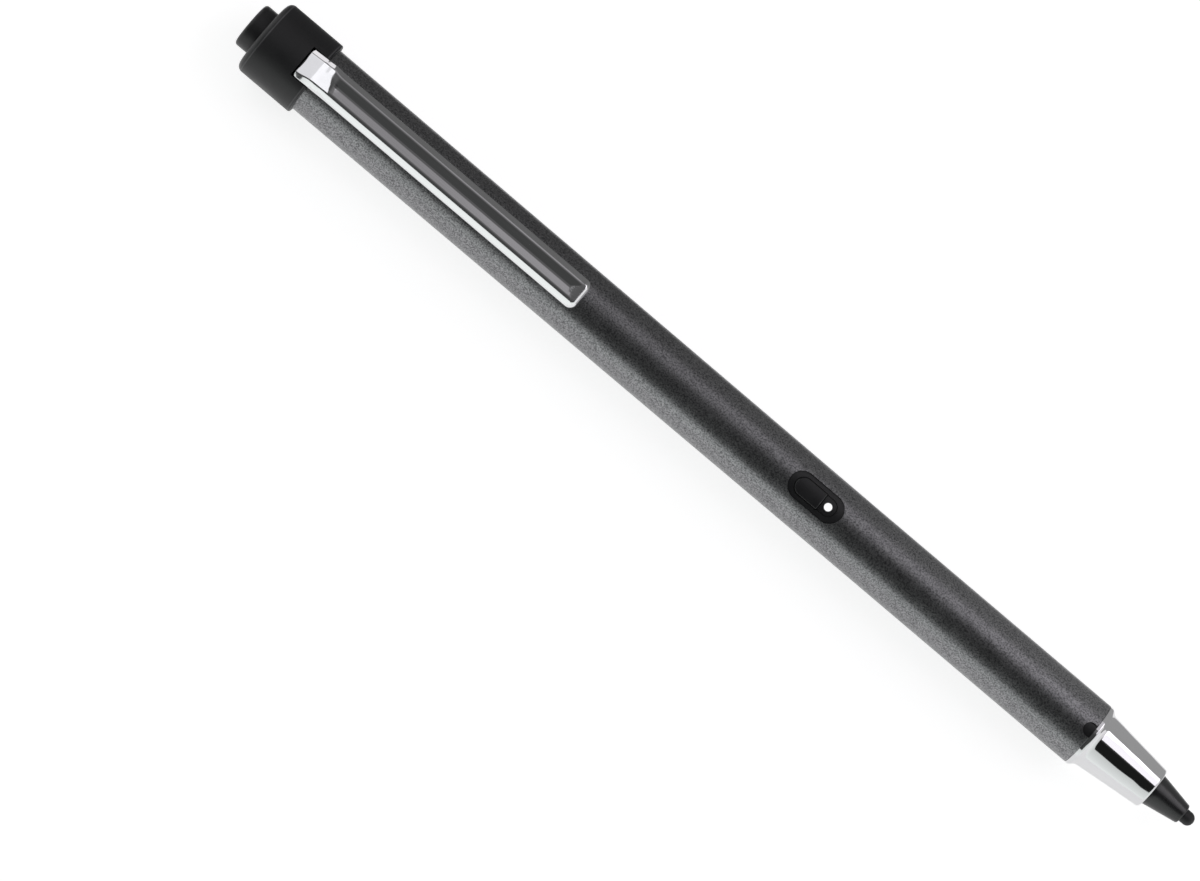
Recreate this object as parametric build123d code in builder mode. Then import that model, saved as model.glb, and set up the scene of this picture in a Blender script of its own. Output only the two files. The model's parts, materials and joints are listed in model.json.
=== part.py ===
from build123d import *
import os
from math import radians, sqrt, tan

# A battery stylus pen with a side button, a push switch in the tail cap and a sprung nib.
# It lies along X with the nib at +X and the clip and side button upwards, and it rests on the
# underside of its tail cap at Z = 0. Lengths are millimetres.

# Lengths along the outside, from the tail to the nib
button_proud = 2.15
cap_length = 8.75
barrel_shown = 128.2
nose_length = 10.8
tip_shown = 5.05
nib_proud = 1.65

# Fits
seat_gap = 0.05
slide_gap = 0.08
cut_over = 1.0

# Cell, which sets the bore of the barrel
cell_diameter = 8.2
cell_length = 42.5
cell_room = 0.1
cell_wrap = 0.12
cell_stud_diameter = 3.8
cell_stud_height = 0.8
cell_end_round = 0.3

# Barrel
barrel_tail_diameter = 9.5
barrel_grip_diameter = 9.1
barrel_grip_length = 40.0
barrel_front_wall = 0.7
barrel_edge_round = 0.12
barrel_lead_in = 0.2
cap_overlap = 2.3

# Tail cap
cap_diameter = 10.8
cap_end_wall = 1.0
cap_shoulder_round = 0.9
cap_skirt_round = 0.25

# Tail button and its switch
button_diameter = 6.35
button_edge_round = 0.45
button_flange_diameter = 7.1
button_flange = 0.7
button_stem_diameter = 2.4
button_travel = 0.8
button_spring_wire = 0.3
button_spring_length = 2.8
button_spring_diameter = 4.2
button_spring_turns = 3
tail_plunger_diameter = 2.0
tail_plunger_length = 1.7
tail_plunger_shown = 1.4
tail_switch_width = 4.0
tail_switch_height = 1.8
tail_board_diameter = 6.2
tail_board_thickness = 0.8

# Switch carrier
carrier_clear = 0.25
carrier_web = 0.6
carrier_room_diameter = 5.8
carrier_reach = 4.0
seal_section = 0.7
seal_back = 2.2
seal_side_gap = 0.1

# Battery spring, carried by the tail switch board
battery_spring_length = 7.0
battery_spring_wire = 0.5
battery_spring_diameter = 4.6
battery_spring_turns = 5

# Clip, pressed from one strip of sheet
clip_sheet = 0.45
clip_width = 4.4
clip_depth = 1.15
clip_edge_round = 0.6
clip_window_length = 2.6
clip_tongue_length = 4.1
clip_tongue_top = 4.45
clip_ramp_start = 0.7
clip_ramp_round = 1.2
clip_ramp_angle = 29.0
clip_bend_past = 1.4
clip_reach = 43.6
clip_end_rise = 1.35
clip_bend_round = 2.5
clip_rim_round = 0.3
clip_trim_step = 0.02
clip_gap = 0.25
clip_side_gap = 0.12
clip_rock_room = 0.4
clip_barb_length = 0.9
clip_barb_width = 1.2
clip_barb_height = 0.22

# Positive contact
contact_diameter = 4.8
contact_sheet = 0.4
contact_tab_width = 1.5
contact_tab_sheet = 0.25
contact_tab_lap = 2.5

# Chassis and main board
chassis_flange = 1.5
chassis_wall = 0.85
chassis_end_wall = 2.0
chassis_front_gap = 0.4
board_top = 0.6
board_thickness = 0.8
board_width = 6.4
board_end_gap = 0.3
screw_inset = 6.0
screw_diameter = 1.2
screw_head_diameter = 2.0
screw_head_height = 0.5
screw_length = 2.6
screw_rib = 3.0

# Electronics under the main board, and the leaf on top of it
chip_side = 4.0
chip_height = 0.9
chip_ahead = 7.5
coil_diameter = 3.8
coil_height = 1.9
coil_ahead = 4.5
capacitor_length = 1.6
capacitor_width = 0.8
capacitor_height = 0.7
capacitor_pitch = 3.0
capacitor_ahead = 15.0
capacitor_count = 4
leaf_sheet = 0.2
leaf_width = 1.2
leaf_foot = 1.5
leaf_slope = 2.7
leaf_ahead = 1.4

# Side button, its switch and the indicator
window_length = 8.3
window_width = 3.85
window_ahead = 82.3
bezel_recess = 0.1
bezel_depth = 1.25
panel_length = 6.4
key_width = 2.45
key_light_gap = 0.45
panel_groove = 0.12
panel_groove_depth = 0.3
key_proud = 0.08
key_flange = 0.5
key_flange_lip = 0.22
key_stem_diameter = 1.4
key_travel = 0.35
key_edge_round = 0.15
side_switch_length = 3.0
side_switch_width = 2.6
side_switch_height = 1.1
side_plunger_diameter = 1.2
side_plunger_sunk = 0.35
light_diameter = 1.15
led_length = 0.8
led_width = 1.6
led_height = 0.6
led_gap = 0.1

# Key in the front edge of the barrel, seated in the nose
notch_width = 1.9
notch_depth = 1.5
nose_key_sunk = 0.55
nose_key_recess = 0.2

# Nose
nose_spigot = 5.0
nose_bore_diameter = 5.2
nose_lip = 0.55
nose_lip_round = 0.45
nose_cove_length = 0.6
nose_cove_round = 1.2
nose_waist_diameter = 7.9
nose_end_diameter = 5.9
nose_end_round = 0.4

# Tip holder
holder_diameter = 4.6
holder_end_diameter = 2.76
holder_end_round = 0.25
holder_shank = 3.5
holder_flange = 1.5
holder_bore_diameter = 3.0

# Nib and what carries it
nib_diameter = 1.9
nib_round_share = 0.96
nib_body_inside = 3.1
nib_shank_diameter = 1.1
nib_shank = 2.2
nib_travel = 0.35
socket_diameter = 2.6
socket_floor = 1.0
shaft_diameter = 1.0
guide_length = 3.9
nib_spring_wire = 0.25
nib_spring_diameter = 1.9
nib_spring_turns = 4
sensor_diameter = 3.8
sensor_thickness = 1.3
sensor_boss_diameter = 4.4
sensor_boss = 1.0

# Radii that the sizes above give
tail_r = barrel_tail_diameter / 2
grip_r = barrel_grip_diameter / 2
cap_r = cap_diameter / 2
cell_r = cell_diameter / 2
cell_bore_r = cell_r + cell_room
front_bore_r = grip_r - barrel_front_wall
carrier_r = cell_bore_r - slide_gap
room_r = carrier_room_diameter / 2
button_r = button_diameter / 2
stem_r = button_stem_diameter / 2
nose_bore_r = nose_bore_diameter / 2
holder_r = holder_diameter / 2
nib_r = nib_diameter / 2
tray_r = front_bore_r - seat_gap

# Stations along X, from the tail to the nib
pen_length = button_proud + cap_length + barrel_shown + nose_length + tip_shown + nib_proud
x_button = -pen_length / 2
x_cap = x_button + button_proud
x_skirt = x_cap + cap_length
x_barrel = x_skirt - cap_overlap
x_front = x_skirt + barrel_shown
x_grip = x_front - barrel_grip_length
x_nose = x_front + nose_length
x_tip = x_nose + tip_shown
x_nib = x_tip + nib_proud

# Stations of the tail switch
x_flange = x_cap + cap_end_wall + seat_gap
x_flange_end = x_flange + button_flange
x_carrier = x_flange_end + button_travel + carrier_clear
x_web = x_flange_end + button_spring_length
x_web_end = x_web + carrier_web
x_plunger = x_web_end - carrier_web / 2
x_tail_switch = x_plunger + tail_plunger_shown
x_tail_board = x_tail_switch + tail_switch_height
x_tail_board_end = x_tail_board + tail_board_thickness
x_carrier_end = x_tail_board_end + carrier_reach
x_seal = x_carrier_end - seal_back

# Stations of the cell, the chassis and the board
x_cell = x_tail_board_end + battery_spring_length
x_cell_end = x_cell + cell_length
x_bulkhead = x_cell_end + contact_sheet
x_shoulder = x_bulkhead + chassis_flange
x_spigot = x_front - nose_spigot
x_tray_end = x_spigot - chassis_front_gap
x_board = x_shoulder + chassis_end_wall
x_board_end = x_tray_end - chassis_end_wall

# Stations of the side button
x_window = x_skirt + window_ahead
x_light = x_window + (panel_length - key_width) / 2
x_key_front = x_light - light_diameter / 2 - key_light_gap
x_key = (x_window - panel_length / 2 + x_key_front) / 2

# Stations of the nib
x_holder_step = x_nose - holder_shank
x_holder = x_holder_step - holder_flange
x_nib_body = x_tip - nib_body_inside
x_socket_stop = x_nib_body - nib_travel
x_socket = x_nib_body - nib_shank - socket_floor
x_sensor = x_tray_end + sensor_boss
x_sensor_end = x_sensor + sensor_thickness
x_shaft = x_sensor_end + nib_travel + seat_gap

# Stations and heights of the clip
x_clip_window = x_skirt - clip_window_length
x_tongue = x_clip_window - clip_tongue_length
x_ramp = x_clip_window + clip_ramp_start
x_bend = x_skirt + clip_bend_past
bend_top = clip_tongue_top + (x_bend - x_ramp) * tan(radians(clip_ramp_angle))
x_clip_end = x_skirt + clip_reach

# Heights above the pen's axis at the side button
board_bottom = board_top - board_thickness
side_switch_top = board_top + side_switch_height
bezel_bottom = front_bore_r + barrel_front_wall - bezel_depth
key_flange_top = bezel_bottom - seat_gap
key_flange_bottom = key_flange_top - key_flange
side_plunger_top = side_switch_top + key_travel + seat_gap

axis_height = cap_r
pen_axis = Axis((0, 0, axis_height), (1, 0, 0))
side = Plane(origin=(0, 0, axis_height), x_dir=(1, 0, 0), z_dir=(0, -1, 0))


def across(x):
    """Plane square to the pen at x, with its own x along Y and its own y upwards."""
    return Plane(origin=(x, 0, axis_height), x_dir=(0, 1, 0), z_dir=(1, 0, 0))


def level(height):
    """Level plane at a height above the pen's axis."""
    return Plane(origin=(0, 0, axis_height + height), x_dir=(1, 0, 0), z_dir=(0, 0, 1))


def barrel_r_at(x):
    """Outer radius of the barrel: a slight cone down to the straight grip."""
    along = min(max((x - x_skirt) / (x_grip - x_skirt), 0), 1)
    return tail_r + (grip_r - tail_r) * along


clip_end_r = barrel_r_at(x_clip_end)


def turn(outline, rounds=()):
    """Spins a half outline about the pen's axis, with rounds as pairs of a corner and its radius."""
    with BuildSketch(side) as half:
        with BuildLine():
            Polyline(*outline, close=True)
        make_face()
        for corner, radius in rounds:
            fillet(half.vertices().sort_by_distance((*corner, 0))[0], radius)
    revolve(half.sketch, axis=pen_axis)


def bar(x_start, x_end, radius, bore=0, mode=Mode.ADD):
    """Round bar or ring on the pen's axis between two stations."""
    with BuildSketch(across(x_start)) as ring:
        Circle(radius)
        if bore:
            Circle(bore, mode=Mode.SUBTRACT)
    extrude(ring.sketch, amount=x_end - x_start, mode=mode)


def block(x_start, x_end, width, bottom, top, mode=Mode.ADD):
    """Block astride the pen's middle plane, between two stations and two heights."""
    with BuildSketch(level(bottom)) as base:
        with Locations(((x_start + x_end) / 2, 0)):
            Rectangle(x_end - x_start, width)
    extrude(base.sketch, amount=top - bottom, mode=mode)


def post(x, diameter, bottom, top, mode=Mode.ADD):
    """Upright round post in the pen's middle plane."""
    with BuildSketch(level(bottom)) as base:
        with Locations((x, 0)):
            Circle(diameter / 2)
    extrude(base.sketch, amount=top - bottom, mode=mode)


def pill(x, length, width, bottom, top, mode=Mode.ADD):
    """Upright pill-shaped block in the pen's middle plane."""
    with BuildSketch(level(bottom)) as base:
        with Locations((x, 0)):
            SlotOverall(length, width)
    extrude(base.sketch, amount=top - bottom, mode=mode)


def panel(grow):
    """Pill that the side button and the light share, grown by a gap or a lip."""
    with Locations((x_window, 0)):
        SlotOverall(panel_length + 2 * grow, key_width + 2 * grow)


def key_block(grow, bottom, top, mode=Mode.ADD):
    """Upright block with the outline of the side button: the panel up to a straight front."""
    with BuildSketch(level(bottom)) as base:
        panel(grow)
        with Locations((x_key_front + grow + panel_length / 2, 0)):
            Rectangle(panel_length, 2 * key_width, mode=Mode.SUBTRACT)
    extrude(base.sketch, amount=top - bottom, mode=mode)


def round_end(plane, radius, heights, ways):
    """Rounds the end of a bar that stops at the plane's own x = 0, at corners of given heights."""
    reach = radius + cut_over
    with BuildSketch(plane) as corners:
        for height, way in zip(heights, ways):
            with Locations((reach / 2 - radius, height + way * (reach / 2 - radius))):
                Rectangle(reach, reach)
            with Locations((-radius, height - way * radius)):
                Circle(radius, mode=Mode.SUBTRACT)
    extrude(corners.sketch, amount=cap_diameter, both=True, mode=Mode.SUBTRACT)


def coil(x_start, x_end, diameter, wire, turns):
    """Winds a wire about the pen's axis between two faces."""
    run = x_end - x_start - wire
    with BuildLine() as winding:
        Helix(run / turns, run, diameter / 2, (x_start + wire / 2, 0, axis_height), (1, 0, 0))
    line = winding.line
    with BuildSketch(Plane(origin=line @ 0, z_dir=line % 0)) as section:
        Circle(wire / 2)
    sweep(section.sketch, path=line, is_frenet=True)
    print(f"coil of {turns} turns, gap between turns {run / turns - wire:.2f} mm")


# Outer pieces

with BuildPart() as barrel:
    front_corner = (x_front, grip_r)
    turn(
        [
            (x_barrel, tail_r - barrel_lead_in),
            (x_barrel + barrel_lead_in, tail_r),
            (x_skirt, tail_r),
            (x_grip, grip_r),
            front_corner,
            (x_front, front_bore_r),
            (x_shoulder, front_bore_r),
            (x_shoulder, cell_bore_r),
            (x_barrel, cell_bore_r),
        ],
        [(front_corner, barrel_edge_round)],
    )
    # Window of the side button, notch of the nose key and keyway of the clip
    pill(x_window, window_length, window_width, 0, tail_r + cut_over, Mode.SUBTRACT)
    pill(x_front, 2 * notch_depth, notch_width, 0, tail_r + cut_over, Mode.SUBTRACT)
    keyway_width = clip_width + 2 * clip_side_gap
    block(x_barrel - cut_over, x_skirt, keyway_width, 0, tail_r + cut_over, Mode.SUBTRACT)

with BuildPart() as tail_cap:
    cap_bore_r = carrier_r + seat_gap
    button_hole_r = button_r + slide_gap
    skirt_r = tail_r + slide_gap
    shoulder_corner = (x_cap, cap_r)
    skirt_corner = (x_skirt, cap_r)
    turn(
        [
            (x_cap, button_hole_r),
            shoulder_corner,
            skirt_corner,
            (x_skirt, skirt_r),
            (x_barrel - seat_gap, skirt_r),
            (x_barrel - seat_gap, cap_bore_r),
            (x_cap + cap_end_wall, cap_bore_r),
            (x_cap + cap_end_wall, button_hole_r),
        ],
        [(shoulder_corner, cap_shoulder_round), (skirt_corner, cap_skirt_round)],
    )
    # Open window for the clip's ramp, pocket for its tongue and recess for the tongue's barb
    pocket_width = clip_width + 2 * clip_side_gap
    pocket_top = clip_tongue_top + seat_gap
    x_pocket = x_tongue - clip_side_gap
    x_barb = x_tongue + clip_barb_length
    block(x_clip_window, x_skirt + cut_over, pocket_width, 0, cap_r + cut_over, Mode.SUBTRACT)
    block(x_pocket, x_clip_window, pocket_width, 0, pocket_top, Mode.SUBTRACT)
    block(
        x_barb - clip_side_gap,
        x_barb + clip_barb_length + clip_side_gap,
        clip_barb_width + 2 * clip_side_gap,
        0,
        pocket_top + clip_barb_height,
        Mode.SUBTRACT,
    )

# Room below the strip of the clip, where its turned-down sides are trimmed clear of the barrel
with BuildPart() as clip_room:
    with BuildLine(side) as clip_path:
        FilletPolyline(
            (x_tongue, clip_tongue_top),
            (x_ramp, clip_tongue_top),
            (x_bend, bend_top),
            (x_clip_end, clip_end_r + clip_end_rise),
            radius=(clip_ramp_round, clip_bend_round),
        )
    path = clip_path.line
    with BuildSketch(across(x_tongue)):
        with Locations((0, clip_tongue_top - clip_sheet - clip_trim_step - clip_depth / 2)):
            Rectangle(clip_width + cut_over, clip_depth)
    sweep(path=path)
    bar(x_tongue - cut_over, x_clip_end + cut_over, tail_r + clip_gap, mode=Mode.INTERSECT)

with BuildPart() as clip:
    # Channel with rounded long edges
    with BuildSketch(across(x_tongue)) as channel:
        with Locations((0, clip_tongue_top - clip_depth / 2)):
            Rectangle(clip_width, clip_depth)
        fillet(channel.vertices().group_by(Axis.Y)[-1], clip_edge_round)
        with Locations((0, clip_tongue_top - clip_sheet - clip_depth / 2)):
            Rectangle(clip_width - 2 * clip_sheet, clip_depth, mode=Mode.SUBTRACT)
    sweep(path=path)
    add(clip_room.part, mode=Mode.SUBTRACT)
    # Turned-down end, cut to the round of the barrel
    with BuildSketch(Plane(origin=path @ 1, x_dir=(0, 1, 0), z_dir=path % 1)) as lip:
        with Locations((0, -clip_end_rise / 2)):
            Rectangle(clip_width, clip_end_rise)
        fillet(lip.vertices().group_by(Axis.Y)[-1], clip_edge_round)
    extrude(amount=-clip_sheet)
    bar(x_bend, x_clip_end + cut_over, clip_end_r + clip_gap, mode=Mode.SUBTRACT)
    # Rounds of that end, seen from the side and from above
    forward = path % 1
    round_end(Plane(path @ 1, x_dir=forward, z_dir=(0, -1, 0)), clip_rim_round, (0,), (1,))
    corner_y = clip_width / 2
    from_above = Plane(path @ 1, x_dir=forward, z_dir=forward.cross(Vector(0, 1, 0)))
    round_end(from_above, clip_edge_round, (corner_y, -corner_y), (1, -1))
    # Barb that holds the tongue in its pocket
    block(
        x_barb,
        x_barb + clip_barb_length,
        clip_barb_width,
        clip_tongue_top - clip_sheet,
        clip_tongue_top + clip_barb_height - seat_gap,
    )

with BuildPart() as button_bezel:
    window_r = barrel_r_at(x_window)
    pill(
        x_window,
        window_length - 2 * seat_gap,
        window_width - 2 * seat_gap,
        bezel_bottom,
        window_r + cut_over,
    )
    bar(x_window - window_length, x_window + window_length, window_r - bezel_recess, mode=Mode.INTERSECT)
    key_block(slide_gap, 0, window_r + cut_over, Mode.SUBTRACT)
    # Groove that carries the outline of the panel on round the light
    with BuildSketch(level(window_r - bezel_recess - panel_groove_depth)):
        panel(0)
        with Locations((x_window, 0)):
            SlotOverall(panel_length - 2 * panel_groove, key_width - 2 * panel_groove, mode=Mode.SUBTRACT)
        with Locations((x_key_front - panel_length / 2, 0)):
            Rectangle(panel_length, 2 * key_width, mode=Mode.SUBTRACT)
    extrude(amount=panel_groove_depth + cut_over, mode=Mode.SUBTRACT)
    post(x_light, light_diameter + 2 * seat_gap, 0, window_r + cut_over, Mode.SUBTRACT)

with BuildPart() as side_button:
    key_block(0, key_flange_top - key_flange / 2, window_r + cut_over)
    bar(x_window - panel_length, x_window + panel_length, window_r + key_proud, mode=Mode.INTERSECT)
    fillet(side_button.faces().sort_by(Axis.Z)[-1].edges(), key_edge_round)
    key_block(key_flange_lip, key_flange_bottom, key_flange_top)
    post(x_key, key_stem_diameter, side_plunger_top, key_flange_bottom)

with BuildPart() as light_pipe:
    post(x_light, light_diameter, board_top + led_height + led_gap, window_r + cut_over)
    bar(x_light - light_diameter, x_light + light_diameter, window_r - bezel_recess, mode=Mode.INTERSECT)

with BuildPart() as nose_cone:
    spigot_r = front_bore_r - seat_gap
    tip_hole_r = holder_r + seat_gap
    lip_corner = (x_front + nose_lip, grip_r)
    cove_corner = (x_front + nose_lip + nose_cove_length, nose_waist_diameter / 2)
    end_corner = (x_nose, nose_end_diameter / 2)
    turn(
        [
            (x_spigot, nose_bore_r),
            (x_spigot, spigot_r),
            (x_front, spigot_r),
            (x_front, grip_r),
            lip_corner,
            cove_corner,
            end_corner,
            (x_nose, tip_hole_r),
            (x_holder_step, tip_hole_r),
            (x_holder_step, nose_bore_r),
        ],
        [
            (cove_corner, nose_cove_round),
            (lip_corner, nose_lip_round),
            (end_corner, nose_end_round),
        ],
    )
    # Seat of the nose key in the spigot
    with BuildSketch(level(spigot_r - nose_key_sunk)):
        with Locations((x_front, 0)):
            SlotOverall(2 * notch_depth, notch_width)
            with Locations((notch_depth, 0)):
                Rectangle(2 * notch_depth, notch_width, mode=Mode.SUBTRACT)
    extrude(amount=nose_key_sunk + cut_over, mode=Mode.SUBTRACT)

with BuildPart() as nose_key:
    with BuildSketch(level(spigot_r - nose_key_sunk)):
        with Locations((x_front, 0)):
            SlotOverall(2 * (notch_depth - seat_gap), notch_width - 2 * seat_gap)
            with Locations((notch_depth, 0)):
                Rectangle(2 * notch_depth, notch_width, mode=Mode.SUBTRACT)
    extrude(amount=nose_key_sunk + barrel_front_wall + cut_over)
    bar(x_front - 2 * notch_depth, x_front, grip_r - nose_key_recess, mode=Mode.INTERSECT)

with BuildPart() as tip_holder:
    holder_bore_r = holder_bore_diameter / 2
    nib_hole_r = nib_r + slide_gap
    holder_corner = (x_tip, holder_end_diameter / 2)
    turn(
        [
            (x_holder, holder_bore_r),
            (x_holder, nose_bore_r - seat_gap),
            (x_holder_step, nose_bore_r - seat_gap),
            (x_holder_step, holder_r),
            (x_nose, holder_r),
            holder_corner,
            (x_tip, nib_hole_r),
            (x_socket_stop, nib_hole_r),
            (x_socket_stop, holder_bore_r),
        ],
        [(holder_corner, holder_end_round)],
    )

# Nib and what carries it

with BuildPart() as nib:
    shank_r = nib_shank_diameter / 2
    nib_corner = (x_nib, nib_r)
    turn(
        [
            (x_nib_body - nib_shank, 0),
            (x_nib_body - nib_shank, shank_r),
            (x_nib_body, shank_r),
            (x_nib_body, nib_r),
            nib_corner,
            (x_nib, 0),
        ],
        [(nib_corner, nib_r * nib_round_share)],
    )

with BuildPart() as nib_socket:
    bar(x_socket, x_socket_stop - seat_gap, socket_diameter / 2)
    bar(x_socket + socket_floor, x_nib_body, shank_r + seat_gap, mode=Mode.SUBTRACT)

with BuildPart() as nib_shaft:
    bar(x_shaft, x_socket, shaft_diameter / 2)

with BuildPart() as nib_guide:
    bar(x_holder - guide_length, x_holder, nose_bore_r - seat_gap, shaft_diameter / 2 + slide_gap)

with BuildPart() as nib_spring:
    coil(x_holder, x_socket, nib_spring_diameter, nib_spring_wire, nib_spring_turns)

with BuildPart() as tip_sensor:
    bar(x_sensor, x_sensor_end, sensor_diameter / 2)

# Tail switch

with BuildPart() as tail_button:
    button_corner = (x_button, button_r)
    turn(
        [
            (x_button, 0),
            button_corner,
            (x_flange, button_r),
            (x_flange, button_flange_diameter / 2),
            (x_flange_end, button_flange_diameter / 2),
            (x_flange_end, stem_r),
            (x_plunger, stem_r),
            (x_plunger, 0),
        ],
        [(button_corner, button_edge_round)],
    )

with BuildPart() as tail_switch_plunger:
    bar(x_plunger, x_plunger + tail_plunger_length, tail_plunger_diameter / 2)

with BuildPart() as tail_button_spring:
    coil(x_flange_end, x_web, button_spring_diameter, button_spring_wire, button_spring_turns)

with BuildPart() as switch_carrier:
    board_bore_r = tail_board_diameter / 2 + seat_gap
    carrier_flat = clip_tongue_top - clip_sheet - clip_rock_room
    turn(
        [
            (x_carrier, room_r),
            (x_carrier, carrier_r),
            (x_carrier_end, carrier_r),
            (x_carrier_end, board_bore_r),
            (x_tail_board, board_bore_r),
            (x_tail_board, room_r),
            (x_web_end, room_r),
            (x_web_end, stem_r + slide_gap),
            (x_web, stem_r + slide_gap),
            (x_web, room_r),
        ]
    )
    # Flat under the clip's tongue and groove of the seal
    block(x_carrier - cut_over, x_skirt, cap_diameter, carrier_flat, cap_r, Mode.SUBTRACT)
    groove_r = cell_bore_r - seat_gap - seal_section
    groove_half = seal_section / 2 + seal_side_gap
    bar(x_seal - groove_half, x_seal + groove_half, carrier_r + cut_over, groove_r, Mode.SUBTRACT)

with BuildPart() as cap_seal:
    with BuildSketch(side):
        with Locations((x_seal, groove_r + seal_section / 2)):
            Circle(seal_section / 2)
    revolve(axis=pen_axis)

with BuildPart() as tail_switch_board:
    bar(x_tail_board, x_tail_board_end, tail_board_diameter / 2)

with BuildPart() as tail_switch_body:
    with BuildSketch(across(x_tail_switch)):
        Rectangle(tail_switch_width, tail_switch_width)
    extrude(amount=tail_switch_height)
    x_plunger_floor = x_plunger + tail_plunger_length + button_travel + seat_gap
    bar(
        x_tail_switch - cut_over,
        x_plunger_floor,
        tail_plunger_diameter / 2 + slide_gap,
        mode=Mode.SUBTRACT,
    )

with BuildPart() as battery_spring:
    coil(x_tail_board_end, x_cell, battery_spring_diameter, battery_spring_wire, battery_spring_turns)

# Cell and its contact

with BuildPart() as battery_can:
    can_r = cell_r - cell_wrap
    stud_r = cell_stud_diameter / 2
    x_can_end = x_cell_end - cell_stud_height
    rear_corner = (x_cell, can_r)
    can_corner = (x_can_end, can_r)
    turn(
        [
            (x_cell, 0),
            rear_corner,
            can_corner,
            (x_can_end, stud_r),
            (x_cell_end, stud_r),
            (x_cell_end, 0),
        ],
        [(rear_corner, cell_end_round), (can_corner, cell_end_round)],
    )

with BuildPart() as battery_wrap:
    bar(x_cell + cell_end_round, x_can_end - cell_end_round, cell_r, can_r)

with BuildPart() as battery_contact:
    bar(x_cell_end, x_bulkhead, contact_diameter / 2)
    block(
        x_cell_end,
        x_board + board_end_gap + contact_tab_lap,
        contact_tab_width,
        board_top,
        board_top + contact_tab_sheet,
    )

# Chassis, board and electronics

x_screws = (x_board + screw_inset, x_board_end - screw_inset)

with BuildPart() as chassis:
    bar(x_bulkhead, x_shoulder, cell_bore_r - seat_gap)
    bar(x_shoulder, x_tray_end, tray_r)
    bar(x_tray_end, x_sensor, sensor_boss_diameter / 2)
    # Open top for the board, troughs between the screw ribs and a slot for the contact's tab
    block(x_board, x_board_end, 2 * tray_r + cut_over, board_bottom, tray_r + cut_over, Mode.SUBTRACT)
    trough_starts = (x_board, x_screws[0] + screw_rib / 2, x_screws[1] + screw_rib / 2)
    trough_ends = (x_screws[0] - screw_rib / 2, x_screws[1] - screw_rib / 2, x_board_end)
    for trough_start, trough_end in zip(trough_starts, trough_ends):
        bar(trough_start, trough_end, tray_r - chassis_wall, mode=Mode.SUBTRACT)
    block(
        x_bulkhead - cut_over,
        x_board + cut_over,
        contact_tab_width + 2 * seat_gap,
        board_top - seat_gap,
        board_top + contact_tab_sheet + seat_gap,
        Mode.SUBTRACT,
    )
    for x_screw in x_screws:
        post(x_screw, screw_diameter, board_top - screw_length, board_top, Mode.SUBTRACT)

with BuildPart() as main_board:
    block(x_board + board_end_gap, x_board_end - board_end_gap, board_width, board_bottom, board_top)
    for x_screw in x_screws:
        post(x_screw, screw_diameter + 2 * seat_gap, board_bottom, board_top, Mode.SUBTRACT)

with BuildPart() as board_screws:
    for x_screw in x_screws:
        post(x_screw, screw_diameter, board_top - screw_length, board_top)
        post(x_screw, screw_head_diameter, board_top, board_top + screw_head_height)

with BuildPart() as controller_chip:
    x_chip = x_screws[0] + chip_ahead
    block(x_chip, x_chip + chip_side, chip_side, board_bottom - chip_height, board_bottom)

with BuildPart() as boost_coil:
    post(x_screws[0] + coil_ahead, coil_diameter, board_bottom - coil_height, board_bottom)

with BuildPart() as board_capacitors:
    for place in range(capacitor_count):
        x_capacitor = x_screws[0] + capacitor_ahead + place * capacitor_pitch
        block(
            x_capacitor,
            x_capacitor + capacitor_width,
            capacitor_length,
            board_bottom - capacitor_height,
            board_bottom,
        )

with BuildPart() as ground_leaf:
    x_leaf = x_screws[1] + leaf_ahead
    leaf_top = sqrt(front_bore_r**2 - (leaf_width / 2) ** 2) - seat_gap - leaf_sheet
    with BuildSketch(side):
        with BuildLine():
            Polyline(
                (x_leaf, board_top),
                (x_leaf + leaf_foot, board_top),
                (x_leaf + leaf_foot + leaf_slope, leaf_top),
                (x_leaf + leaf_foot + leaf_slope, leaf_top + leaf_sheet),
                (x_leaf + leaf_foot, board_top + leaf_sheet),
                (x_leaf, board_top + leaf_sheet),
                close=True,
            )
        make_face()
    extrude(amount=leaf_width / 2, both=True)

with BuildPart() as side_switch_body:
    x_switch = x_key - side_switch_length / 2
    block(x_switch, x_switch + side_switch_length, side_switch_width, board_top, side_switch_top)
    side_plunger_floor = side_switch_top - side_plunger_sunk - key_travel - seat_gap
    post(x_key, side_plunger_diameter + 2 * slide_gap, side_plunger_floor, side_switch_top, Mode.SUBTRACT)

with BuildPart() as side_switch_plunger:
    post(x_key, side_plunger_diameter, side_switch_top - side_plunger_sunk, side_plunger_top)

with BuildPart() as indicator_led:
    block(x_light - led_length / 2, x_light + led_length / 2, led_width, board_top, board_top + led_height)

pieces = {
    "barrel": barrel,
    "tail_cap": tail_cap,
    "clip": clip,
    "button_bezel": button_bezel,
    "side_button": side_button,
    "light_pipe": light_pipe,
    "nose_cone": nose_cone,
    "nose_key": nose_key,
    "tip_holder": tip_holder,
    "nib": nib,
    "nib_socket": nib_socket,
    "nib_shaft": nib_shaft,
    "nib_guide": nib_guide,
    "nib_spring": nib_spring,
    "tip_sensor": tip_sensor,
    "tail_button": tail_button,
    "tail_switch_plunger": tail_switch_plunger,
    "tail_button_spring": tail_button_spring,
    "switch_carrier": switch_carrier,
    "cap_seal": cap_seal,
    "tail_switch_board": tail_switch_board,
    "tail_switch_body": tail_switch_body,
    "battery_spring": battery_spring,
    "battery_can": battery_can,
    "battery_wrap": battery_wrap,
    "battery_contact": battery_contact,
    "chassis": chassis,
    "main_board": main_board,
    "board_screws": board_screws,
    "controller_chip": controller_chip,
    "boost_coil": boost_coil,
    "board_capacitors": board_capacitors,
    "ground_leaf": ground_leaf,
    "side_switch_body": side_switch_body,
    "side_switch_plunger": side_switch_plunger,
    "indicator_led": indicator_led,
}

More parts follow.
